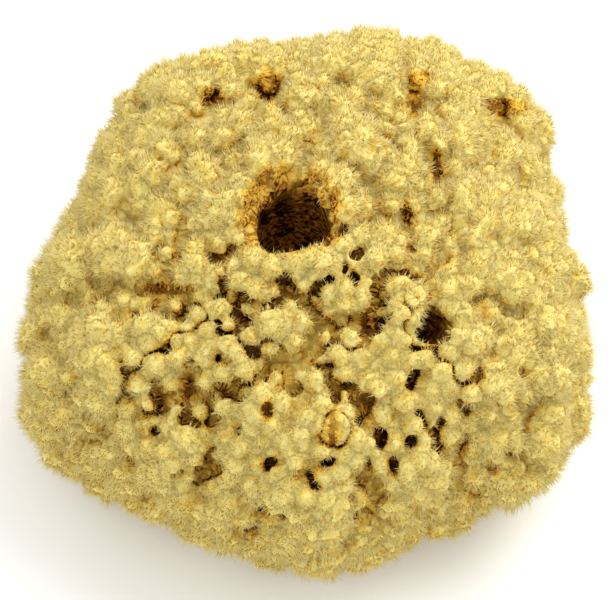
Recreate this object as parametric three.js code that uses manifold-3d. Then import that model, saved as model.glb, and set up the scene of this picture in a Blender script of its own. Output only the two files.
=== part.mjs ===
// A natural bath sponge: one grown skeleton of soft fibre, domed and lumpy, trimmed flat underneath.
// Millimetres, +Z up. The origin is at the middle of the trimmed underside, and -Y is the front.
import * as THREE from 'three';
import { mergeVertices } from 'three/addons/utils/BufferGeometryUtils.js';
import Module from 'manifold-3d';

// Driving dimensions of the dome
const HEIGHT = 86;
const WAIST_HEIGHT = 33;      // level at which the dome is widest
const UNDER_REACH = 52;       // depth of the rounded underside before it is trimmed
const DOME_MIDDLE = [0.5, -1.1]; // puts the middle of the finished outline over the origin
const CROWN_SQUARENESS = 2.3; // 2 is an ellipse, more is flatter on top
const CROWN_SHIFT = [-1, 3];  // how far the top leans to the right and to the back
const SKIN_DETAIL = 18;       // subdivision of the sphere that the skin is made from

// Half-widths of the waist as seen from above, every 15 degrees anticlockwise from the right
const WAIST_REACH = [
  72, 70, 76, 82, 78, 78, 70, 69, 72, 73, 66, 66,
  70, 76, 78, 71, 68, 69, 72, 70, 69, 75, 78, 75,
];

// Tufts: rounded lumps all over the dome
const LUMP_COUNT = 340;
const LUMP_RADIUS = [6.5, 9.5];
const LUMP_RISE = [2.6, 6.2];
const LUMP_SINK = 3.6;        // the skin between lumps lies this far inside the outline
const LUMP_JITTER = 0.08;     // radians that a lump may stray round the dome

// The face of the sponge is the side seen from the front, from this high and this far away.
// A place on it is [across, up] on a plane through FACE_MIDDLE, square to the line of sight.
const SIGHT_ELEVATION = THREE.MathUtils.degToRad(62);
const SIGHT_DISTANCE = 800;
const FACE_MIDDLE = new THREE.Vector3(0.5, 3.1, 29);

// Broad swellings and hollows of the face: [across, up, radius, rise]
const SWELLINGS = [
  [50, 22, 17, 4], [-56, -14, 18, 3.5], [-60, 12, 13, 2.5], [65, -12, 14, 3], [20, 62, 15, 3],
  [-28, 58, 14, 2.5], [60, -42, 14, 3], [4, -57, 16, 3], [-40, -44, 15, 3], [42, -18, 14, 2.5],
  [-48, 30, 13, 2], [12, 48, 12, 2.5], [-10, 40, 10, 2.5], [30, -45, 13, 2], [-20, -10, 9, 1.5],
  [-27, 51, 9, -4], [-10, 56, 7, -4], [52, 49, 9, -4], [34, 34, 7, -4.5], [36, 24, 6, -4],
  [-38, 2, 10, -4], [-26, -24, 12, -3], [0, -12, 22, -2.5], [31, 53, 7, -4], [-54, 0, 8, -3],
  [12, -2, 10, -3], [-8, -28, 14, -2], [40, 10, 7, -3],
];

// The great opening on the crown and the smaller one beside it
const CROWN_OPENING = {
  place: [-3.5, 24], halfWidth: 9.4, halfLength: 11.6, turn: 80, sides: 18, lean: [0, 0, -1],
  // [share of the half-width, depth]
  profile: [
    [1.22, -7], [1.1, -1], [0.94, 5], [0.9, 11], [1, 20], [1.02, 30], [0.86, 40], [0.45, 46], [0, 48],
  ],
};
const SIDE_OPENING = {
  place: [32.5, -5.5], halfWidth: 4.6, halfLength: 5.6, turn: 20, sides: 12, lean: null,
  profile: [[1.15, -8], [1.05, 0], [0.95, 6], [0.9, 14], [0.7, 22], [0, 26]],
};
const RIM_RISE = 2.2;         // the tufts stand up in a collar round the great opening
const RIM_RADIUS = 14.5;
const RIM_WIDTH = 5;

// Canals that open into the great opening's far wall: [across, up, radius]
const CANALS = [
  [-6.7, 23.4, 1.9], [-11.3, 21.2, 1.7], [-0.6, 22.2, 1.5], [3.6, 25.4, 1.6], [-3.2, 18.6, 1.6],
];
const CANAL_DEPTH = 9;
const CANAL_WALL = 0.86;      // the wall is this share of the opening's half-length from its middle

// Pits and clefts of the face: [across, up, length, width, turn in degrees, depth]
const PITS = [
  [-24.6, 52.6, 5.4, 4.0, 0, 7], [-10.1, 55.4, 8.4, 5.2, 80, 8], [-30.2, 45.9, 5.2, 1.8, -5, 5],
  [27.3, 50.3, 6.6, 2.8, 70, 9], [52.4, 47.2, 3.6, 2.6, 0, 5], [33.5, 33.0, 8.6, 2.0, 85, 6],
  [26.0, 20.8, 7.0, 1.9, 88, 7], [38.2, 15.5, 5.2, 2.8, -10, 6], [24.3, 27.5, 2.6, 2.0, 0, 5],
  [-40.8, 2.6, 5.4, 3.8, 15, 10], [-34.0, 3.6, 6.4, 2.4, 0, 6], [-9.4, -0.8, 4.6, 4.4, 0, 9],
  [-34.2, -6.6, 4.2, 3.0, -30, 8], [-22.3, -9.6, 3.3, 2.9, 0, 9], [-18.0, -6.5, 3.8, 3.0, 40, 7],
  [-12.2, -10.2, 2.8, 2.8, 0, 7], [-4.1, -4.2, 3.2, 3.4, 0, 9], [-21.5, -17.2, 3.4, 3.4, 0, 9],
  [-30.5, -23.8, 8.4, 4.4, 80, 13], [-38.2, -26.8, 8.6, 2.6, 58, 10], [-11.0, -16.8, 4.0, 2.6, 10, 9],
  [-13.0, -22.6, 4.6, 2.2, 60, 9], [-10.3, -29.0, 7.4, 2.4, -68, 9], [-18.6, -27.6, 3.8, 1.8, 20, 5],
  [7.2, -2.9, 3.2, 3.2, 0, 9], [15.7, -6.8, 7.0, 2.2, -68, 8], [0.6, -16.6, 4.4, 3.2, 70, 11],
  [11.4, -17.6, 7.8, 2.2, -10, 7], [15.2, -26.0, 5.6, 3.6, 65, 11], [6.8, -33.4, 9.6, 3.0, -82, 10],
  [14.4, -35.6, 4.4, 2.0, 80, 8], [15.4, -40.8, 5.2, 1.9, -65, 6], [0.9, -46.0, 5.0, 2.2, -60, 7],
  [4.4, -56.0, 6.8, 2.2, -48, 6], [-19.6, -36.6, 5.0, 3.2, 10, 7], [-3.4, -38.2, 5.0, 2.8, -75, 7],
  [31.3, -24.2, 5.0, 2.0, -12, 6], [26.5, -1.8, 2.6, 2.4, 0, 6], [11.5, 5.4, 3.4, 2.6, 0, 7],
  [40.0, -33.8, 2.6, 2.2, 0, 6], [58.4, -33.8, 2.8, 2.2, 0, 6], [-49.5, 24.1, 2.6, 2.4, 0, 6],
  [-2.8, -14.0, 2.8, 2.2, 0, 7], [-2.4, -22.0, 3.2, 2.0, 70, 6], [6.0, 0.8, 3.0, 2.2, 80, 6],
];

// Pits where the face doesn't show them, and canals cut through by the flat trim underneath
const OUTER_PIT_COUNT = 17;
const OUTER_PIT_RADIUS = [1.2, 2.6];
const OUTER_PIT_STRETCH = [1, 1.9];
const OUTER_PIT_DEPTH = [5, 10];
const OUTER_PIT_LEVEL = [-0.35, 0.75]; // heights on the unit sphere
const FACE_LIMIT = 0.35;      // directions closer to the viewer's than this belong to the face
const BASE_CANAL_COUNT = 12;
const BASE_CANAL_RADIUS = [1.4, 4.2];
const BASE_CANAL_DEPTH = [5, 14];
const BASE_CANAL_REACH = 48;
const BASE_CANAL_STRETCH = 1.2;
const BASE_CANAL_LEAN = 0.25;
const BASE_WEB = 4;           // least skeleton left between two canals
const BASE_MIDDLE = 9;        // radius kept whole round the origin

const PIT_SIDES = 5;
const PIT_TOP = 8;            // a pit's cutter starts this far above the skin
const RAGGEDNESS = 0.14;

const SPONGE_YELLOW = 0xdcc478;

const wasm = await Module();
wasm.setup();

// A repeatable source of chance
function seededRandom(seed) {
  let state = seed;
  return () => {
    state = (state + 0x6d2b79f5) | 0;
    let t = Math.imul(state ^ (state >>> 15), 1 | state);
    t = (t + Math.imul(t ^ (t >>> 7), 61 | t)) ^ t;
    return ((t ^ (t >>> 14)) >>> 0) / 4294967296;
  };
}

const between = (range, share) => range[0] + (range[1] - range[0]) * share;

function merged(geometry) {
  geometry.deleteAttribute('normal');
  geometry.deleteAttribute('uv');
  return mergeVertices(geometry, 1e-4);
}

function solidOf(geometry) {
  const closed = merged(geometry);
  return new wasm.Manifold(new wasm.Mesh({
    numProp: 3,
    vertProperties: new Float32Array(closed.attributes.position.array),
    triVerts: new Uint32Array(closed.index.array),
  }));
}

// Half-width of the waist in a direction, by a smooth closed curve through WAIST_REACH
const waistCurve = new THREE.CatmullRomCurve3(
  WAIST_REACH.map((reach) => new THREE.Vector3(reach, 0, 0)), true, 'catmullrom', 0.5);

function waistReach(azimuth) {
  const turns = azimuth / (2 * Math.PI);
  return waistCurve.getPoint(turns - Math.floor(turns)).x;
}

// The smooth dome, without its lumps, in the direction of a unit vector
function domePoint(direction) {
  const level = Math.hypot(direction.x, direction.y);
  const power = direction.z > 0 ? 2 / CROWN_SQUARENESS : 1;
  const reach = waistReach(Math.atan2(direction.y, direction.x)) * level ** power;
  const climb = Math.abs(direction.z) ** power;
  const z = direction.z > 0
    ? WAIST_HEIGHT + (HEIGHT - WAIST_HEIGHT) * climb
    : WAIST_HEIGHT - UNDER_REACH * climb;
  const lean = Math.max(0, z / HEIGHT) ** 2;
  const scale = reach / Math.max(level, 1e-9);
  return new THREE.Vector3(
    DOME_MIDDLE[0] + direction.x * scale + CROWN_SHIFT[0] * lean,
    DOME_MIDDLE[1] + direction.y * scale + CROWN_SHIFT[1] * lean,
    z,
  );
}

function domeGeometry() {
  const sphere = merged(new THREE.IcosahedronGeometry(1, SKIN_DETAIL));
  const position = sphere.attributes.position;
  for (let i = 0; i < position.count; i++) {
    const direction = new THREE.Vector3().fromBufferAttribute(position, i).normalize();
    position.setXYZ(i, ...domePoint(direction).toArray());
  }
  sphere.computeVertexNormals();
  return sphere;
}

const dome = new THREE.Mesh(domeGeometry(), new THREE.MeshBasicMaterial());

// Where the line of sight to a place on the face meets the dome, with the skin's normal there
const towardsViewer = new THREE.Vector3(0, -Math.cos(SIGHT_ELEVATION), Math.sin(SIGHT_ELEVATION));
const faceUp = new THREE.Vector3(0, Math.sin(SIGHT_ELEVATION), Math.cos(SIGHT_ELEVATION));
const eye = FACE_MIDDLE.clone().addScaledVector(towardsViewer, SIGHT_DISTANCE);

function onFace([across, up], inset = 0) {
  const target = FACE_MIDDLE.clone().addScaledVector(faceUp, up);
  target.x += across;
  const sight = target.sub(eye).normalize();
  const hit = new THREE.Raycaster(eye, sight).intersectObject(dome)[0];
  return {
    point: hit.point.clone().addScaledVector(sight, inset),
    normal: hit.face.normal.clone(),
    sight,
  };
}

function unitDirection(azimuth, z) {
  const level = Math.sqrt(1 - z * z);
  return new THREE.Vector3(level * Math.cos(azimuth), level * Math.sin(azimuth), z);
}

// Lumps spread over the dome by the golden angle, with a little jitter
function scatteredLumps() {
  const random = seededRandom(11);
  const goldenAngle = Math.PI * (3 - Math.sqrt(5));
  return Array.from({ length: LUMP_COUNT }, (_, i) => {
    const z = 1 - (2 * (i + 0.5)) / LUMP_COUNT;
    const azimuth = i * goldenAngle + between([-LUMP_JITTER, LUMP_JITTER], random());
    return {
      centre: domePoint(unitDirection(azimuth, z)),
      radius: between(LUMP_RADIUS, random()),
      rise: between(LUMP_RISE, random()),
    };
  });
}

function lumpRise(lumps, point) {
  let rise = 0;
  for (const lump of lumps) {
    const share = point.distanceTo(lump.centre) / lump.radius;
    if (share < 1) rise = Math.max(rise, lump.rise * Math.sqrt(1 - share * share));
  }
  return rise;
}

// A smooth hill, 1 at its middle and 0 at its edge
const hill = (share) => (share < 1 ? (1 - share * share) ** 2 : 0);

function swellingRise(swellings, point) {
  return swellings.reduce(
    (sum, { centre, radius, rise }) => sum + rise * hill(point.distanceTo(centre) / radius), 0);
}

function rimRise(centre, point) {
  const away = Math.hypot(point.x - centre.x, point.y - centre.y) - RIM_RADIUS;
  return RIM_RISE * hill(Math.abs(away) / RIM_WIDTH);
}

function skinSolid() {
  const lumps = scatteredLumps();
  const swellings = SWELLINGS.map(([across, up, radius, rise]) => (
    { centre: onFace([across, up]).point, radius, rise }));
  const rimCentre = onFace(CROWN_OPENING.place).point;
  const skin = dome.geometry.clone();
  const { position, normal } = skin.attributes;
  const point = new THREE.Vector3();
  const outward = new THREE.Vector3();
  for (let i = 0; i < position.count; i++) {
    point.fromBufferAttribute(position, i);
    outward.fromBufferAttribute(normal, i);
    const rise = lumpRise(lumps, point) + swellingRise(swellings, point)
      + rimRise(rimCentre, point) - LUMP_SINK;
    point.addScaledVector(outward, rise);
    position.setXYZ(i, point.x, point.y, point.z);
  }
  return solidOf(skin);
}

// A cutter for a hole: a ragged, oval, tapering plug that runs inwards from a point.
// Its profile is a list of [share of the half-width, depth].
function plug({ point, inward, longAxis, halfLength, halfWidth, profile, sides, seed }) {
  const random = seededRandom(seed);
  const outline = profile.map(([share, depth]) => new THREE.Vector2(share, -depth));
  if (outline[0].x > 0) outline.unshift(new THREE.Vector2(0, outline[0].y));
  const lathe = merged(new THREE.LatheGeometry(outline.reverse(), sides));
  const position = lathe.attributes.position;
  const depthAxis = inward.clone().normalize();
  const along = longAxis.clone().addScaledVector(depthAxis, -longAxis.dot(depthAxis)).normalize();
  const sideways = new THREE.Vector3().crossVectors(depthAxis, along);
  for (let i = 0; i < position.count; i++) {
    const ragged = between([1 - RAGGEDNESS, 1 + RAGGEDNESS], random());
    const placed = point.clone()
      .addScaledVector(along, position.getX(i) * halfLength * ragged)
      .addScaledVector(sideways, position.getZ(i) * halfWidth * ragged)
      .addScaledVector(depthAxis, -position.getY(i));
    position.setXYZ(i, placed.x, placed.y, placed.z);
  }
  return solidOf(lathe);
}

// The direction on the face that is turned so many degrees anticlockwise from across
function turnedOnFace(degrees) {
  const angle = THREE.MathUtils.degToRad(degrees);
  return new THREE.Vector3(Math.cos(angle), 0, 0).addScaledVector(faceUp, Math.sin(angle));
}

const taperedPit = (depth) => [[1.3, -PIT_TOP], [0.95, depth * 0.45], [0, depth]];

function openingCutter({ place, turn, lean, ...shape }, seed) {
  const { point, normal } = onFace(place);
  const inward = lean ? new THREE.Vector3(...lean) : normal.negate();
  return plug({ ...shape, point, inward, longAxis: turnedOnFace(turn), seed });
}

function pitCutters() {
  return PITS.map(([across, up, length, width, turn, depth], i) => {
    const { point, normal, sight } = onFace([across, up]);
    return plug({
      point,
      inward: normal.negate().add(sight),
      longAxis: turnedOnFace(turn),
      halfLength: length / 2,
      halfWidth: width / 2,
      profile: taperedPit(depth),
      sides: PIT_SIDES,
      seed: 100 + i,
    });
  });
}

// Small canals run from inside the great opening into its far wall, along the line of sight
function canalCutters() {
  return CANALS.map(([across, up, radius], i) => {
    const { point, sight } = onFace([across, up]);
    const mouth = onFace(CROWN_OPENING.place).point;
    const toWall = (mouth.y + CROWN_OPENING.halfLength * CANAL_WALL - point.y) / sight.y;
    return plug({
      point: point.addScaledVector(sight, toWall),
      inward: new THREE.Vector3(sight.x, 1, -0.5),
      longAxis: new THREE.Vector3(1, 0, 0),
      halfLength: radius,
      halfWidth: radius,
      profile: [[0.9, -3], [1, 0], [0.9, CANAL_DEPTH * 0.7], [0, CANAL_DEPTH]],
      sides: PIT_SIDES,
      seed: 300 + i,
    });
  });
}

// Pits at random places of the back and the sides, off the face
function outerPitCutters() {
  const random = seededRandom(23);
  const cutters = [];
  for (let i = 0; cutters.length < OUTER_PIT_COUNT; i++) {
    const direction = unitDirection(random() * 2 * Math.PI, between(OUTER_PIT_LEVEL, random()));
    if (direction.dot(towardsViewer) > FACE_LIMIT) continue;
    const radius = between(OUTER_PIT_RADIUS, random());
    cutters.push(plug({
      point: domePoint(direction),
      inward: direction.clone().negate(),
      longAxis: new THREE.Vector3(random() - 0.5, random() - 0.5, random()),
      halfLength: radius * between(OUTER_PIT_STRETCH, random()),
      halfWidth: radius,
      profile: taperedPit(between(OUTER_PIT_DEPTH, random())),
      sides: PIT_SIDES,
      seed: 400 + i,
    }));
  }
  return cutters;
}

function baseCanalCutters() {
  const random = seededRandom(37);
  const placed = [];
  while (placed.length < BASE_CANAL_COUNT) {
    const azimuth = random() * 2 * Math.PI;
    const away = BASE_CANAL_REACH * Math.sqrt(random());
    const radius = between(BASE_CANAL_RADIUS, random() ** 2);
    const point = new THREE.Vector3(away * Math.cos(azimuth), away * Math.sin(azimuth), 0);
    const crowded = placed.some((other) => (
      other.point.distanceTo(point) < other.radius + radius + BASE_WEB));
    if (!crowded && away > BASE_MIDDLE) placed.push({ point, radius });
  }
  const lean = () => between([-BASE_CANAL_LEAN, BASE_CANAL_LEAN], random());
  return placed.map(({ point, radius }, i) => plug({
    point,
    inward: new THREE.Vector3(lean(), lean(), 1),
    longAxis: new THREE.Vector3(1, random(), 0),
    halfLength: radius * BASE_CANAL_STRETCH,
    halfWidth: radius,
    profile: taperedPit(between(BASE_CANAL_DEPTH, random())),
    sides: PIT_SIDES,
    seed: 500 + i,
  }));
}

// The trim that makes the flat underside
function trimCutter() {
  const side = HEIGHT * 4;
  return solidOf(new THREE.BoxGeometry(side, side, HEIGHT).translate(0, 0, -HEIGHT / 2));
}

function spongeSolid() {
  const cutters = [
    trimCutter(),
    openingCutter(CROWN_OPENING, 1),
    openingCutter(SIDE_OPENING, 2),
    ...pitCutters(),
    ...canalCutters(),
    ...outerPitCutters(),
    ...baseCanalCutters(),
  ];
  return cutters.reduce((solid, cutter) => solid.subtract(cutter), skinSolid());
}

function geometryOf(solid) {
  const { numProp, numVert, vertProperties, triVerts } = solid.getMesh();
  const places = new Float32Array(numVert * 3);
  for (let i = 0; i < numVert; i++) {
    places.set(vertProperties.subarray(i * numProp, i * numProp + 3), i * 3);
  }
  return new THREE.BufferGeometry()
    .setAttribute('position', new THREE.BufferAttribute(places, 3))
    .setIndex(new THREE.BufferAttribute(triVerts, 1));
}

const spongeMesh = new THREE.Mesh(
  geometryOf(spongeSolid()),
  new THREE.MeshStandardMaterial({ color: SPONGE_YELLOW, roughness: 0.95, metalness: 0 }),
);
spongeMesh.name = 'sponge';

const seaSponge = new THREE.Group();
seaSponge.add(spongeMesh);

export default seaSponge;
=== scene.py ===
import math

import bpy
import numpy as np
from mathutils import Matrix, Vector, noise
from mathutils.bvhtree import BVHTree
from mathutils.kdtree import KDTree


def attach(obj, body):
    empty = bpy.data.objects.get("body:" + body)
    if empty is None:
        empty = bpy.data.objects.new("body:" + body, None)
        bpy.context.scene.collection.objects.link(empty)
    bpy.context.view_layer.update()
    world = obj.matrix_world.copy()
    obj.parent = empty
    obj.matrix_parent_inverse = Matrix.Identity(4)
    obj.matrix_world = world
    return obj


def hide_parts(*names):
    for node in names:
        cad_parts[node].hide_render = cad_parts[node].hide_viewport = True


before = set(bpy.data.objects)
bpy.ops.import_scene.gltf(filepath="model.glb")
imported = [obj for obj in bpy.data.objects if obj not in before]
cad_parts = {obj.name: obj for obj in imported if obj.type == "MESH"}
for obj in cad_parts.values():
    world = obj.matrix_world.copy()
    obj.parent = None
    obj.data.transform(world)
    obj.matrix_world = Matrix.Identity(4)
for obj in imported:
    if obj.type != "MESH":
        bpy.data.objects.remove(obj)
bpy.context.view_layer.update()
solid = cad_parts["sponge"]

# The camera stands high in front of the sponge, close to square on its face.
# A place on the face is (across, up) in metres, on a plane through FACE_MIDDLE that is square to the view.
FACE_MIDDLE = np.array([0.0005, 0.0031, 0.029])
SIGHT_ELEVATION = math.radians(62)
SIGHT_DISTANCE = 0.8
FACE_WIDTH_IN_VIEW = 0.1585

towards_camera = np.array([0, -math.cos(SIGHT_ELEVATION), math.sin(SIGHT_ELEVATION)])
face_up = np.array([0, math.sin(SIGHT_ELEVATION), math.cos(SIGHT_ELEVATION)])
eye = FACE_MIDDLE + towards_camera * SIGHT_DISTANCE

camera_data = bpy.data.cameras.new("camera")
camera_data.sensor_width = 36
camera_data.lens = 36 * SIGHT_DISTANCE / FACE_WIDTH_IN_VIEW
camera_data.clip_start = 0.01
camera = bpy.data.objects.new("camera", camera_data)
camera.location = eye
camera.rotation_euler = (math.pi / 2 - SIGHT_ELEVATION, 0, 0)
bpy.context.scene.collection.objects.link(camera)
bpy.context.scene.camera = camera


def place_on_face(points):
    away = points - eye
    scale = SIGHT_DISTANCE / -(away @ towards_camera)
    return np.stack([away[:, 0] * scale, (away @ face_up) * scale], 1)


# The skeleton's inner skin: the sponge without its tufts. It is one grown mass of soft fibre, and it lies
# a few millimetres inside the outline, where the gaps between the tufts end. Its pits and canals are open.
SKIN_GRAIN = 0.0013
SKIN_SINK = 0.0070
SKIN_SINK_STEPS = 4
SINK_OUTSIDE_MIDDLE = 0.46  # the share of the sink away from the open, pitted middle of the face
OPEN_MIDDLE = (-0.002, -0.020)
OPEN_MIDDLE_REACH = (0.044, 0.034)
TRIM_SPARE = 0.012  # the skin runs on this far below the cut, and is trimmed last
OPEN_RAYS = 16
FAR_WALL = 0.06
PIT_WIDENING = 0.20  # a pit's walls move out by this share of the sink, to leave room for its fibres
PIT_OPENNESS = 0.41  # a place less open than this belongs to a pit

# The single hollows and clefts of the face, in mm: across and up on the face, then half their width and
# height. Their places were measured from the photo. Their sizes were measured or judged.
HOLLOWS = (
    (-24.5, 52.6, 3.0, 2.4), (-10.1, 55.2, 3.2, 4.6), (27.8, 51.1, 2.2, 3.4), (29.2, 57.0, 3.2, 2.0),
    (51.5, 49.6, 5.4, 2.6), (25.8, 22.0, 1.4, 3.6), (33.6, 34.6, 1.4, 4.6), (-36.4, 2.8, 6.2, 1.9),
    (-30.4, -23.2, 1.8, 4.0), (-38.2, -26.4, 1.8, 2.8), (-10.3, -28.6, 1.6, 3.2), (7.0, -33.5, 1.6, 5.0),
    (15.0, -25.8, 2.0, 2.4), (15.5, -6.5, 1.6, 3.4),
)
HOLLOW_REACH = 0.014  # a hollow reaches this far in front of and behind the solid's surface


def only(thing):
    bpy.ops.object.select_all(action="DESELECT")
    thing.select_set(True)
    bpy.context.view_layer.objects.active = thing


def apply_modifier(thing, kind, **settings):
    only(thing)
    modifier = thing.modifiers.new(kind.lower(), kind)
    for name, value in settings.items():
        setattr(modifier, name, value)
    bpy.ops.object.modifier_apply(modifier=modifier.name)


def vertex_places(mesh):
    places = np.empty(len(mesh.vertices) * 3, np.float32)
    mesh.vertices.foreach_get("co", places)
    return places.reshape(-1, 3).astype(float)


def vertex_normals(mesh):
    normals = np.empty(len(mesh.vertices) * 3, np.float32)
    mesh.vertex_normals.foreach_get("vector", normals)
    return normals.reshape(-1, 3).astype(float)


def triangle_corners(mesh):
    mesh.calc_loop_triangles()
    corners = np.empty(len(mesh.loop_triangles) * 3, np.int32)
    mesh.loop_triangles.foreach_get("vertices", corners)
    return corners.reshape(-1, 3)


def tree_of(mesh):
    return BVHTree.FromPolygons(vertex_places(mesh).tolist(), triangle_corners(mesh).tolist())


def unit(vectors):
    return vectors / np.maximum(np.linalg.norm(vectors, axis=-1, keepdims=True), 1e-12)


def across_and_along(normals):
    helper = np.where(np.abs(normals[:, 2:3]) < 0.9, [[0.0, 0.0, 1.0]], [[1.0, 0.0, 0.0]])
    across = unit(np.cross(helper, normals))
    return across, np.cross(normals, across)


# How open each point is to the air: the share of directions, weighted towards straight out, with no wall.
def openness(points, normals, tree, rays, reach):
    share = (np.arange(rays) + 0.5) / rays
    turn = np.arange(rays) * math.pi * (3 - math.sqrt(5))
    lean = np.sqrt(share)
    across, along = across_and_along(normals)
    starts = (points + normals * 0.0003).tolist()
    blocked = np.zeros(len(points))
    for k in range(rays):
        ways = (
            across * (lean[k] * math.cos(turn[k]))
            + along * (lean[k] * math.sin(turn[k]))
            + normals * math.sqrt(1 - share[k])
        ).tolist()
        blocked += [tree.ray_cast(start, way, reach)[0] is not None for start, way in zip(starts, ways)]
    return 1 - blocked / rays


def spread_over(mesh, values, rounds):
    ends = np.empty(len(mesh.edges) * 2, np.int32)
    mesh.edges.foreach_get("vertices", ends)
    a, b = ends.reshape(-1, 2).T
    count = np.bincount(a, minlength=len(values)) + np.bincount(b, minlength=len(values)) + 1
    for _ in range(rounds):
        columns = values.reshape(len(values), -1).T
        mixed = []
        for c in columns:
            neighbours = np.bincount(a, c[b], minlength=len(c)), np.bincount(b, c[a], minlength=len(c))
            mixed.append(c + neighbours[0] + neighbours[1])
        values = (np.array(mixed) / count).T.reshape(values.shape)
    return values


skin = bpy.data.objects.new("sponge_skeleton", solid.data.copy())
bpy.context.scene.collection.objects.link(skin)
only(skin)
bpy.ops.object.mode_set(mode="EDIT")
bpy.ops.mesh.select_all(action="SELECT")
bpy.ops.mesh.remove_doubles(threshold=1e-6)
bpy.ops.mesh.select_all(action="DESELECT")
bpy.ops.object.mode_set(mode="OBJECT")
for face in skin.data.polygons:
    face.select = face.normal.z < -0.99 and abs(face.center.z) < 1e-5
bpy.ops.object.mode_set(mode="EDIT")
bpy.ops.mesh.extrude_region_move(TRANSFORM_OT_translate={"value": (0, 0, -TRIM_SPARE)})
bpy.ops.object.mode_set(mode="OBJECT")
apply_modifier(skin, "REMESH", mode="VOXEL", voxel_size=SKIN_GRAIN)

solid_tree = tree_of(skin.data)
outer_places = vertex_places(skin.data)
outer_normals = vertex_normals(skin.data)
outer_open = openness(outer_places, outer_normals, solid_tree, OPEN_RAYS, FAR_WALL)
outer_open = spread_over(skin.data, outer_open, 1)
outer_broad = unit(spread_over(skin.data, outer_normals, 8))
pit_places = outer_places[(outer_open < PIT_OPENNESS) & (outer_places[:, 2] > 0.001)]


# How far a place belongs to the open middle of the face: 1 inside it, 0 well outside it.
def middleness(points):
    away = np.linalg.norm((place_on_face(points) - OPEN_MIDDLE) / OPEN_MIDDLE_REACH, axis=1)
    return np.clip((1.5 - away) / 0.7, 0, 1) * (points[:, 2] > 0.02)


# Where each hollow lies on the solid: the first point that the sight line through it meets.
hollow_spots = []
for across, up, _, _ in HOLLOWS:
    aim = FACE_MIDDLE + face_up * up / 1000 + np.array([across / 1000, 0, 0])
    hollow_spots.append(np.array(solid_tree.ray_cast(eye.tolist(), unit(aim - eye).tolist())[0]))


# How far a place belongs to one of the hollows: 1 in its middle, 0 outside it.
def hollowness(points):
    most = np.zeros(len(points))
    seen = place_on_face(points) * 1000
    for spot, (across, up, half_across, half_up) in zip(hollow_spots, HOLLOWS):
        away = np.linalg.norm((seen - (across, up)) / (half_across, half_up), axis=1)
        near = np.abs((points - spot) @ towards_camera) < HOLLOW_REACH
        most = np.maximum(most, np.clip((1.3 - away) / 0.5, 0, 1) * near)
    return most


pit_places = np.concatenate([pit_places, outer_places[hollowness(outer_places) > 0.8]])

group = skin.vertex_groups.new(name="outer")
sink = np.clip((outer_open - 0.35) / 0.4, PIT_WIDENING, 1)
sink *= SINK_OUTSIDE_MIDDLE + (1 - SINK_OUTSIDE_MIDDLE) * middleness(outer_places)
sink = np.maximum(sink, hollowness(outer_places))
for i, share in enumerate(sink.tolist()):
    group.add([i], share, "REPLACE")
apply_modifier(skin, "SMOOTH", factor=0.5, iterations=4, vertex_group="outer")
for _ in range(SKIN_SINK_STEPS):
    apply_modifier(
        skin, "DISPLACE", mid_level=0, strength=-SKIN_SINK / SKIN_SINK_STEPS, vertex_group="outer"
    )
    apply_modifier(skin, "SMOOTH", factor=0.5, iterations=3, vertex_group="outer")


def trim(thing):
    bpy.ops.object.select_all(action="DESELECT")
    bpy.ops.mesh.primitive_cube_add(size=0.4, location=(0, 0, -0.2))
    block = bpy.context.active_object
    apply_modifier(thing, "BOOLEAN", operation="DIFFERENCE", solver="MANIFOLD", object=block)
    bpy.data.objects.remove(block)


inner_corners = triangle_corners(skin.data)
inner_places = vertex_places(skin.data)
apply_modifier(skin, "REMESH", mode="VOXEL", voxel_size=SKIN_GRAIN)
trim(skin)
apply_modifier(skin, "REMESH", mode="VOXEL", voxel_size=SKIN_GRAIN)
apply_modifier(skin, "TRIANGULATE")


# The tufts: pompoms of fibre that grew on the skin on short stalks and are parted by narrow gaps.
# Each is a cluster of round lobes. They are small and loose in the open, pitted middle of the face,
# and close together elsewhere. Where two numbers stand, the first is outside the middle.
TUFT_SPACING = (0.0048, 0.0098)  # the smallest and largest tufts' width, outside the middle
TUFT_FINE_SPACING = (0.0036, 0.0066)  # and in it
TUFT_CLOSENESS = (0.70, 0.86)  # how near two tufts may stand, as a share of the sum of their halves
TUFT_UNEVENNESS = (0.0005, 0.0022)  # the most that a tall tuft ends lower than the tallest
LOW_TUFT_CLOSENESS = 0.72
LOW_TUFT_DROP = 0.42  # the tufts between the tall ones end this share of the gaps' depth lower
TUFT_SMALLEST = 0.0019
TUFT_OPENNESS = 0.49  # tufts stand where the solid is more open than this
TUFT_TRIES = 60000
MOUTH_MIDDLE = (-0.003, -0.002)  # the great opening goes straight down from here
MOUTH_RADIUS = 0.0125
TUFT_TOP = -0.0003  # how far inside the solid's surface the tallest heads end: a little outside it
TUFT_GRAIN = 0.00080
ROUGH_WIDTH = 0.0018
ROUGH_HEIGHT = 0.0015

chance = np.random.default_rng(7)
corners = inner_corners
a, b, c = outer_places[corners[:, 0]], outer_places[corners[:, 1]], outer_places[corners[:, 2]]
area = np.linalg.norm(np.cross(b - a, c - a), axis=1) / 2
from_mouth = np.linalg.norm(a[:, :2] - MOUTH_MIDDLE, axis=1)
worth = area * (outer_open[corners].mean(1) > TUFT_OPENNESS) * (a[:, 2] > -0.002)
worth *= (from_mouth > MOUTH_RADIUS) | (a[:, 2] < 0.05)
picked = chance.choice(len(corners), TUFT_TRIES, p=worth / worth.sum())
u, v = chance.random((2, TUFT_TRIES, 1))
flip = u + v > 1
u, v = np.where(flip, 1 - u, u), np.where(flip, 1 - v, v)
tries = a[picked] * (1 - u - v) + b[picked] * u + c[picked] * v
depths = np.linalg.norm(outer_places - inner_places, axis=1)[corners[picked, 0]]
outwards = unit(outer_broad[corners[picked, 0]])

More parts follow.
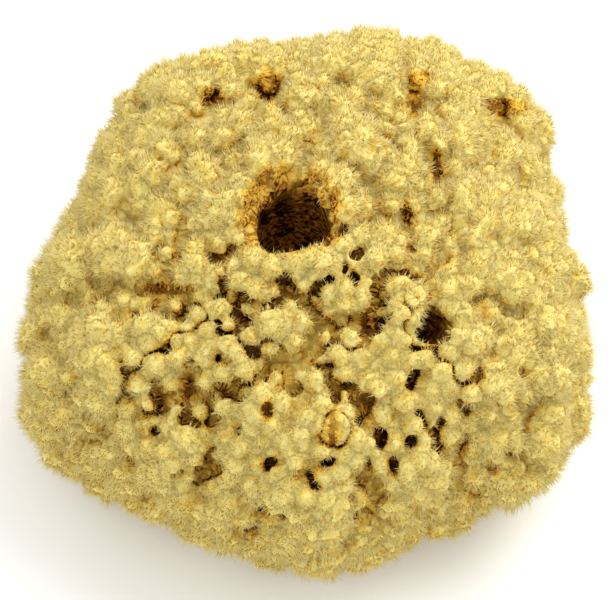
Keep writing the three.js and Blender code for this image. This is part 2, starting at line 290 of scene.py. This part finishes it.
fineness = middleness(tries)
closeness = TUFT_CLOSENESS[0] + (TUFT_CLOSENESS[1] - TUFT_CLOSENESS[0]) * fineness
unevenness = TUFT_UNEVENNESS[0] + (TUFT_UNEVENNESS[1] - TUFT_UNEVENNESS[0]) * fineness
share = chance.random(TUFT_TRIES)
coarse = TUFT_SPACING[0] + (TUFT_SPACING[1] - TUFT_SPACING[0]) * share
fine = TUFT_FINE_SPACING[0] + (TUFT_FINE_SPACING[1] - TUFT_FINE_SPACING[0]) * share
spacing = coarse + (fine - coarse) * fineness

pits = KDTree(len(pit_places))
for i, place in enumerate(pit_places):
    pits.insert(place, i)
pits.balance()

cell = TUFT_SPACING[1]
kept = {}
tufts = []


def stand_tufts(order, closeness, lowest):
    for i in order:
        place = tries[i]
        key = tuple((place // cell).astype(int))
        near = [
            other
            for x in (-1, 0, 1)
            for y in (-1, 0, 1)
            for z in (-1, 0, 1)
            for other in kept.get((key[0] + x, key[1] + y, key[2] + z), ())
        ]
        apart = (spacing[i] + spacing[near]) * 0.5 * closeness[i]
        if near and (np.sum((tries[near] - place) ** 2, axis=1) < apart ** 2).any():
            continue
        clear = pits.find(place)[2]
        if clear < TUFT_SMALLEST:
            continue
        kept.setdefault(key, []).append(i)
        drop = chance.uniform(0, 1) ** 2 * unevenness[i] + lowest * depths[i]
        tufts.append((i, min(spacing[i] * chance.uniform(0.45, 0.53), clear), drop))


# The large tufts take their places first, and low ones then fill the gaps, nearly all in the middle.
stand_tufts(np.argsort(-spacing * chance.uniform(0.8, 1.2, TUFT_TRIES)), closeness, 0)
low_order = chance.permutation(TUFT_TRIES)[: TUFT_TRIES // 4]
low_order = low_order[chance.random(len(low_order)) < 0.03 + 0.97 * fineness[low_order]]
stand_tufts(low_order, closeness * LOW_TUFT_CLOSENESS, LOW_TUFT_DROP)
tuft_hearts = np.array([
    tries[i] - outwards[i] * (TUFT_TOP + drop + reach * 1.3) for i, reach, drop in tufts
])
tuft_reach = np.array([reach for _, reach, _ in tufts])

bpy.ops.object.select_all(action="DESELECT")
bpy.ops.mesh.primitive_ico_sphere_add(subdivisions=2, radius=1)
lobe = bpy.context.active_object
lobe_places = vertex_places(lobe.data)
lobe_corners = triangle_corners(lobe.data)
bpy.data.objects.remove(lobe)


def tuft_lobes(place, outward, reach, depth, drop):
    side, along = (way[0] for way in across_and_along(outward[None]))
    turn = chance.uniform(0, math.pi)
    cosine, sine = math.cos(turn), math.sin(turn)
    side, along = side * cosine + along * sine, along * cosine - side * sine
    side = side * chance.uniform(1, 1.35)
    along = along * chance.uniform(0.85, 1)
    middle = place - outward * (TUFT_TOP + reach * 0.55 + drop)
    lobes = [(middle, reach * 0.56)]
    for count, ring, size, low, high in ((6, 0.58, 0.40, 0.1, 0.6), (5, 0.52, 0.4, 0.8, 1.3)):
        turn = chance.uniform(0, 2 * math.pi)
        for k in range(count):
            angle = turn + (k + chance.uniform(-0.25, 0.25)) * 2 * math.pi / count
            off = side * math.cos(angle) + along * math.sin(angle)
            spot = middle + off * (reach * ring * chance.uniform(0.85, 1.1))
            spot = spot - outward * (reach * chance.uniform(low, high))
            lobes.append((spot, reach * size * chance.uniform(0.75, 1.15)))
    at = 0.8
    while at * reach < depth:
        lobes.append((middle - outward * (reach * at), reach * chance.uniform(0.5, 0.62)))
        at += 0.55
    return lobes


def region_of(points):
    turned = (np.arctan2(points[:, 1], points[:, 0]) - math.pi / 4) % (2 * math.pi)
    crown = (np.hypot(points[:, 0], points[:, 1]) < 0.036) & (points[:, 2] > 0.04)
    return np.where(crown, 0, 1 + (turned // (math.pi / 2)).astype(int))


REGIONS = ("crown", "back", "left", "front", "right")
rough = bpy.data.textures.new("rough", "CLOUDS")
rough.noise_scale = ROUGH_WIDTH
rough.noise_depth = 2
region = region_of(tries)
tuft_pieces = []
for number, name in enumerate(REGIONS):
    lobes = [
        one
        for i, reach, drop in tufts
        if region[i] == number
        for one in tuft_lobes(tries[i], outwards[i], reach, depths[i], drop)
    ]
    centres = np.array([middle for middle, _ in lobes])
    sizes = np.array([size for _, size in lobes])
    stretch = sizes[:, None, None] * chance.uniform(0.88, 1.12, (len(lobes), 1, 3))
    tuft_places = centres[:, None] + lobe_places[None] * stretch
    tuft_corners = lobe_corners[None] + np.arange(len(lobes))[:, None, None] * len(lobe_places)
    mesh = bpy.data.meshes.new("tufts_" + name)
    mesh.from_pydata(tuft_places.reshape(-1, 3), [], tuft_corners.reshape(-1, 3))
    piece = bpy.data.objects.new("tufts_" + name, mesh)
    bpy.context.scene.collection.objects.link(piece)
    apply_modifier(piece, "REMESH", mode="VOXEL", voxel_size=TUFT_GRAIN)
    apply_modifier(piece, "SMOOTH", factor=0.5, iterations=1)
    apply_modifier(
        piece, "DISPLACE", mid_level=0.5, strength=ROUGH_HEIGHT, texture=rough, texture_coords="LOCAL"
    )
    if number:
        trim(piece)
        apply_modifier(piece, "REMESH", mode="VOXEL", voxel_size=TUFT_GRAIN)
    apply_modifier(piece, "TRIANGULATE")
    tuft_pieces.append(piece)


# The fibre of skin and tufts: dry, matt and felted. Its colour carries painted shade: it is pale straw
# where a point is open to the air, gold in the shallow gaps, and brown and then near black in the deep
# ones.
FELT_SCALE = 1500
FELT_HEIGHT = 0.0004
STRAND_BALL = 0.003  # strands are as wide as on a ball of this radius
STRAND_STRETCH = 0.2  # the pattern runs this much slower along a strand than the place itself does
STRAND_JUMP = 3  # each tuft's heart starts this much further on in the pattern
SKIN_STRETCH = 0.6
GAP_REACH = 0.008  # a wall further off than this adds no painted shade to a point
GAP_GOLD = 0.46  # the gaps away from the open middle are shallow: their painted shade is lifted this far, and they stay gold
MOUTH_SHADE = 0.6  # painted shade: the great opening's wall is painted this much darker, right up to its rim
CAVE_SHADE_LIMIT = 0.27  # and deep inside it the painted shade is lifted to at least this brown tone

# The round canals at its end, painted black as shade inside them, in mm: across, up and half width. The
# last one's place was judged.
CANALS = ((-6.7, 23.5, 2.0), (-11.2, 21.4, 1.7), (-0.5, 22.4, 1.5), (3.6, 25.5, 1.6), (-5.6, 18.2, 1.5))
HOLLOW_SHADE = 0.6  # painted shade: the single hollows are painted this much darker
MOTTLE_SCALE = 520  # the fibre's colour wanders about every two millimetres
MOTTLE = 0.45
BASE_SHADE_HEIGHT = 0.055  # painted shade: the fibre below this height is painted darker, the more so the lower
CUT_HEIGHT = 0.0012  # the trimmed underside is up to this high
body = [skin, *tuft_pieces]
starts = np.cumsum([0] + [len(piece.data.vertices) for piece in body])
body_places = np.concatenate([vertex_places(piece.data) for piece in body])
body_normals = np.concatenate([vertex_normals(piece.data) for piece in body])
body_corners = np.concatenate([triangle_corners(piece.data) + start for piece, start in zip(body, starts)])
body_tree = BVHTree.FromPolygons(body_places.tolist(), body_corners.tolist())
body_open = openness(body_places, body_normals, body_tree, OPEN_RAYS, GAP_REACH)

# The fibres of a tuft stand out all round from its heart. A point's strand is the way to it from there.
hearts = KDTree(len(tuft_hearts))
for i, spot in enumerate(tuft_hearts):
    hearts.insert(spot, i)
hearts.balance()
nearest = np.array([hearts.find(spot)[1] for spot in body_places])
from_heart = body_places - tuft_hearts[nearest]
radial = unit(from_heart)
# Each tuft starts elsewhere in the pattern. Bare skin, far from any heart, reads it by its own position.
strand = radial * STRAND_BALL + from_heart * STRAND_STRETCH + tuft_hearts[nearest] * STRAND_JUMP
bare = np.linalg.norm(from_heart, axis=1) > tuft_reach[nearest] * 2 + 0.004
strand[bare] = body_places[bare] * SKIN_STRETCH

# The painted shade and mottle, from 0 in the dark to 1 in the open. First the painted shade: darker by the
# near walls and where the solid is little open, darker towards the floor, lifted in the shallow gaps
# outside the middle, and darker in the single hollows.
outline = KDTree(len(outer_places))
for i, spot in enumerate(outer_places):
    outline.insert(spot, i)
outline.balance()
broad_open = outer_open[[outline.find(spot)[1] for spot in body_places]]
broad_open[body_places[:, 2] < CUT_HEIGHT] = 1
body_shade_and_mottle = np.clip((body_open - 0.12) / 0.8, 0, 1) * np.clip((broad_open - 0.02) / 0.35, 0.4, 1)
# Painted shade on the low side, which the light from above misses: darker towards the floor.
body_shade_and_mottle *= 0.6 + 0.4 * np.clip(body_places[:, 2] / BASE_SHADE_HEIGHT, 0, 1)
hollow = hollowness(body_places)
shallow = GAP_GOLD * (1 - middleness(body_places)) * np.clip((broad_open - 0.3) / 0.2, 0, 1)
shallow *= 1 - hollow
body_shade_and_mottle = shallow + body_shade_and_mottle * (1 - shallow)
body_shade_and_mottle *= 1 - HOLLOW_SHADE * hollow

# Then the great opening: painted shade makes its wall darker, deep in the cave at its end the painted shade
# is held at brown, and the canals there are painted black as shade.
inwards = np.array(MOUTH_MIDDLE) - body_places[:, :2]
away = np.linalg.norm(inwards, axis=1)
facing = np.clip(2 * np.sum(inwards * body_normals[:, :2], axis=1) / away, 0, 1)
body_shade_and_mottle *= 1 - MOUTH_SHADE * facing * np.clip((MOUTH_RADIUS + 0.002 - away) / 0.002, 0, 1)
cave = (away < MOUTH_RADIUS) & (broad_open < 0.3) & (body_places[:, 2] > 0.02)
body_shade_and_mottle[cave] = np.maximum(body_shade_and_mottle[cave], CAVE_SHADE_LIMIT)
body_seen = place_on_face(body_places) * 1000
# Painted shade: each canal is painted black, fading out at its rim.
for across, up, size in CANALS:
    from_canal = np.hypot(body_seen[:, 0] - across, body_seen[:, 1] - up) / size
    body_shade_and_mottle[cave] *= np.clip((from_canal[cave] - 0.8) / 0.35, 0, 1)
mottle = np.array([noise.noise(spot) for spot in (body_places * MOTTLE_SCALE).tolist()])
body_shade_and_mottle = np.clip(body_shade_and_mottle * (1 + MOTTLE * mottle), 0, 1)


def ramp(nodes, stops):
    node = nodes.new("ShaderNodeValToRGB")
    while len(node.color_ramp.elements) > 1:
        node.color_ramp.elements.remove(node.color_ramp.elements[0])
    node.color_ramp.elements[0].position = stops[0][0]
    node.color_ramp.elements[0].color = (*linear(stops[0][1]), 1)
    for position, colour in stops[1:]:
        node.color_ramp.elements.new(position).color = (*linear(colour), 1)
    return node


def linear(colour):
    share = np.array(colour) / 255
    return np.where(share <= 0.04045, share / 12.92, ((share + 0.055) / 1.055) ** 2.4).tolist()


def map_range(nodes, links, value, low, high, to_low, to_high):
    node = nodes.new("ShaderNodeMapRange")
    for socket, number in zip(node.inputs[1:5], (low, high, to_low, to_high)):
        socket.default_value = number
    links.new(value, node.inputs[0])
    return node.outputs[0]


def add(nodes, links, first, second):
    node = nodes.new("ShaderNodeMath")
    node.operation = "ADD"
    links.new(first, node.inputs[0])
    links.new(second, node.inputs[1])
    return node.outputs[0]


skeleton_look = bpy.data.materials.new("sponge skeleton")
skeleton_look.use_nodes = True
nodes, links = skeleton_look.node_tree.nodes, skeleton_look.node_tree.links
shader = nodes["Principled BSDF"]
shader.inputs["Roughness"].default_value = 0.95
shader.inputs["Specular IOR Level"].default_value = 0.05
shader.inputs["Subsurface Weight"].default_value = 0.3
shader.inputs["Subsurface Radius"].default_value = (1.0, 0.65, 0.25)
shader.inputs["Subsurface Scale"].default_value = 0.001
# The painted shade and mottle, and the strand places, come from the body's attributes.
shade_and_mottle_of = nodes.new("ShaderNodeAttribute")
shade_and_mottle_of.attribute_name = "shade_and_mottle"
strand_of = nodes.new("ShaderNodeAttribute")
strand_of.attribute_name = "strand"
where = nodes.new("ShaderNodeTexCoord")
felt = nodes.new("ShaderNodeTexNoise")
felt.inputs["Scale"].default_value = FELT_SCALE
felt.inputs["Detail"].default_value = 2
felt.inputs["Distortion"].default_value = 0.4
links.new(strand_of.outputs["Vector"], felt.inputs["Vector"])
patches = nodes.new("ShaderNodeTexNoise")
patches.inputs["Scale"].default_value = 120
patches.inputs["Detail"].default_value = 2
links.new(where.outputs["Object"], patches.inputs["Vector"])
felt_shift = map_range(nodes, links, felt.outputs[0], 0.3, 0.7, -0.31, 0.26)
patch_shift = map_range(nodes, links, patches.outputs[0], 0.3, 0.7, -0.08, 0.08)
shifted = add(nodes, links, add(nodes, links, shade_and_mottle_of.outputs["Fac"], felt_shift), patch_shift)
# The ramp turns the painted shade and mottle into colour: near black, brown, gold and pale straw.
shade = ramp(nodes, [
    (0.0, (40, 21, 8)), (0.1, (88, 50, 18)), (0.22, (150, 96, 30)), (0.38, (212, 160, 52)),
    (0.6, (221, 192, 88)), (1.0, (226, 213, 136)),
])
links.new(shifted, shade.inputs[0])
links.new(shade.outputs[0], shader.inputs["Base Color"])
bump = nodes.new("ShaderNodeBump")
bump.inputs["Strength"].default_value = 1.0
bump.inputs["Distance"].default_value = FELT_HEIGHT
links.new(felt.outputs[0], bump.inputs["Height"])
links.new(bump.outputs[0], shader.inputs["Normal"])
# Each piece of the body carries its painted shade and mottle and its strand places as attributes.
for piece, start, end in zip(body, starts, starts[1:]):
    layer = piece.data.attributes.new("shade_and_mottle", "FLOAT", "POINT")
    layer.data.foreach_set("value", body_shade_and_mottle[start:end].astype(np.float32))
    layer = piece.data.attributes.new("strand", "FLOAT_VECTOR", "POINT")
    layer.data.foreach_set("vector", strand[start:end].astype(np.float32).ravel())
    only(piece)
    bpy.ops.object.shade_smooth()
    piece.data.materials.clear()
    piece.data.materials.append(skeleton_look)
    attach(piece, "root")
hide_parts("sponge")

# The fibres: fine tapering hairs of the sponge's own skeleton, which end free on every tuft. They stand
# in small fans that point away from the tuft's heart, thick on the heads and thin in the gaps. Those
# outside the open middle of the face are longer.
FIBRE_COUNT = 249000
FIBRES_IN_FAN = 3
FIBRE_LENGTH = (0.0012, 0.0026)
FIBRE_WIDTH = (0.00015, 0.00028)
OUTER_LENGTH = 1.25  # the share of their length outside the open middle
MIDDLE_LENGTH = 0.95  # and in it
FAN_SPREAD = 0.0003

a, b, c = (body_places[body_corners[:, k]] for k in range(3))
area = np.linalg.norm(np.cross(b - a, c - a), axis=1) / 2
corner_open = body_shade_and_mottle[body_corners].mean(1)
under = (a[:, 2] + b[:, 2] + c[:, 2]) / 3 < 0.0006
worth = area * np.clip((corner_open - 0.35) / 0.4, 0.0, 1) * np.where(under, 0.05, 1)
worth *= 1 + 0.6 * np.clip(body_normals[body_corners[:, 0]] @ towards_camera, 0, 1)
fans = FIBRE_COUNT // FIBRES_IN_FAN
filled = np.cumsum(worth) / worth.sum()
picked = np.searchsorted(filled, (np.arange(fans) + chance.random(fans)) / fans).clip(0, len(worth) - 1)
u, v = chance.random((2, fans, 1))
flip = u + v > 1
u, v = np.where(flip, 1 - u, u), np.where(flip, 1 - v, v)
w = 1 - u - v


def on_picked(values):
    one, two, three = (values[body_corners[picked, k]] for k in range(3))
    return one * w + two * u + three * v


fan_root = on_picked(body_places)
fan_fine = unit(on_picked(body_normals))
fan_way = unit(fan_fine * 0.4 + radial[body_corners[picked, 0]] * 0.9 + chance.normal(0, 0.14, (fans, 3)))
# The painted shade and mottle of the body at the fan's root: it sets the fibres' colour and shortens them
# in the dark.
fan_shade_and_mottle = on_picked(body_shade_and_mottle[:, None])[:, 0]
side, along = across_and_along(fan_fine)

n = fans * FIBRES_IN_FAN
fan = np.repeat(np.arange(fans), FIBRES_IN_FAN)
step = chance.normal(0, 1, (n, 2))
off = side[fan] * step[:, :1] + along[fan] * step[:, 1:]
root = fan_root[fan] + off * FAN_SPREAD - fan_fine[fan] * 0.0002
way = unit(fan_way[fan] + off * 0.14 + chance.normal(0, 0.08, (n, 3)))
length = chance.uniform(*FIBRE_LENGTH, n) * np.clip(0.2 + fan_shade_and_mottle[fan], 0.4, 1.1)
length *= OUTER_LENGTH + (MIDDLE_LENGTH - OUTER_LENGTH) * middleness(root)
width = chance.uniform(*FIBRE_WIDTH, n)
tip = root + way * length[:, None]
tip[:, 2] = np.maximum(tip[:, 2], 0.0003)
root[:, 2] = np.maximum(root[:, 2], 0.0003)
side, along = across_and_along(way)
angles = chance.uniform(0, 2 * math.pi, n)
points = np.empty((n, 4, 3))
for k in range(3):
    angle = angles + k * 2 * math.pi / 3
    rim = side * np.cos(angle)[:, None] + along * np.sin(angle)[:, None]
    points[:, k] = root + rim * width[:, None] / 2
points[:, 3] = tip
# Each fibre's colour tone: the painted shade and mottle at its root, with a random share added.
shade_and_mottle = np.clip(fan_shade_and_mottle[fan] * 0.6 + 0.45 * chance.random(n), 0.03, 0.97)


def write_map(mesh, across, up):
    layer = mesh.uv_layers.new(name="OFBake")
    corner_vertex = np.empty(len(mesh.loops), np.int32)
    mesh.loops.foreach_get("vertex_index", corner_vertex)
    places = np.stack([across[corner_vertex], up[corner_vertex]], 1).astype(np.float32)
    layer.uv.foreach_set("vector", places.ravel())


fibre_look = bpy.data.materials.new("sponge fibre")
fibre_look.use_nodes = True
nodes, links = fibre_look.node_tree.nodes, fibre_look.node_tree.links
shader = nodes["Principled BSDF"]
shader.inputs["Roughness"].default_value = 0.9
shader.inputs["Specular IOR Level"].default_value = 0.05
place = nodes.new("ShaderNodeUVMap")
place.uv_map = "OFBake"
parts = nodes.new("ShaderNodeSeparateXYZ")
links.new(place.outputs["UV"], parts.inputs[0])
# The fibre's colour: across the map its painted shade and random tone, along it from root to tip. The
# roots, down among the fibres, are painted darker and deeper gold than the pale tips, as painted shade.
root_shade = ramp(nodes, [
    (0.0, (60, 32, 8)), (0.25, (196, 144, 42)), (0.6, (228, 194, 80)), (1.0, (238, 216, 118)),
])
tip_shade = ramp(nodes, [
    (0.0, (116, 76, 22)), (0.25, (220, 184, 80)), (0.6, (233, 219, 150)), (1.0, (239, 231, 180)),
])
links.new(parts.outputs[0], root_shade.inputs[0])
links.new(parts.outputs[0], tip_shade.inputs[0])
blend = nodes.new("ShaderNodeMix")
blend.data_type = "RGBA"
links.new(parts.outputs[1], blend.inputs["Factor"])
links.new(root_shade.outputs[0], blend.inputs[6])
links.new(tip_shade.outputs[0], blend.inputs[7])
links.new(blend.outputs[2], shader.inputs["Base Color"])

order = np.argsort(region_of(root), kind="stable")
SPIKE_FACES = np.array([[0, 1, 3], [1, 2, 3], [2, 0, 3], [2, 1, 0]])
for name, members in zip(REGIONS, np.array_split(order, 5)):
    mesh = bpy.data.meshes.new("fibres_" + name)
    count = len(members)
    faces = SPIKE_FACES[None] + np.arange(count)[:, None, None] * 4
    mesh.vertices.add(count * 4)
    mesh.vertices.foreach_set("co", points[members].astype(np.float32).ravel())
    mesh.loops.add(count * 12)
    mesh.loops.foreach_set("vertex_index", faces.astype(np.int32).ravel())
    mesh.polygons.add(count * 4)
    mesh.polygons.foreach_set("loop_start", np.arange(count * 4, dtype=np.int32) * 3)
    mesh.update(calc_edges=True)
    across = np.repeat(shade_and_mottle[members], 4) + np.tile([-0.01, 0.01, 0.0, 0.0], count)
    up = np.tile([0.0, 0.015, 0.03, 1.0], count)
    write_map(mesh, across, up)
    mesh.materials.append(fibre_look)
    piece = bpy.data.objects.new("fibres_" + name, mesh)
    bpy.context.scene.collection.objects.link(piece)
    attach(piece, "root")


# The floor and the light: a white table and one broad lamp high behind the sponge, on the right, with a
# weak one in front on the left and soft light all round.
bpy.ops.object.select_all(action="DESELECT")
bpy.ops.mesh.primitive_plane_add(size=6, location=(0, 0, 0))
floor = bpy.context.active_object
floor.name = "floor"
floor_look = bpy.data.materials.new("white table")
floor_look.use_nodes = True
floor_look.node_tree.nodes["Principled BSDF"].inputs["Base Color"].default_value = (0.95, 0.95, 0.945, 1)
floor_look.node_tree.nodes["Principled BSDF"].inputs["Roughness"].default_value = 0.7
floor.data.materials.append(floor_look)


def lamp(name, place, aim, size, power, colour):
    data = bpy.data.lights.new(name, "AREA")
    data.shape = "DISK"
    data.size = size
    data.energy = power
    data.color = colour
    thing = bpy.data.objects.new(name, data)
    thing.location = place
    thing.rotation_euler = (Vector(aim) - Vector(place)).to_track_quat("-Z", "Y").to_euler()
    bpy.context.scene.collection.objects.link(thing)


lamp("key", (0.45, 0.4, 0.9), (0, 0, 0.04), 0.9, 7.9, (1, 0.99, 0.98))
lamp("fill", (-0.5, -0.6, 0.9), (0, 0, 0.04), 0.8, 0.8, (1, 1, 1))
world = bpy.data.worlds.new("room")
world.use_nodes = True
world.node_tree.nodes["Background"].inputs["Color"].default_value = (1, 1, 1, 1)
world.node_tree.nodes["Background"].inputs["Strength"].default_value = 1.06
bpy.context.scene.world = world
bpy.context.scene.view_settings.view_transform = "Standard"
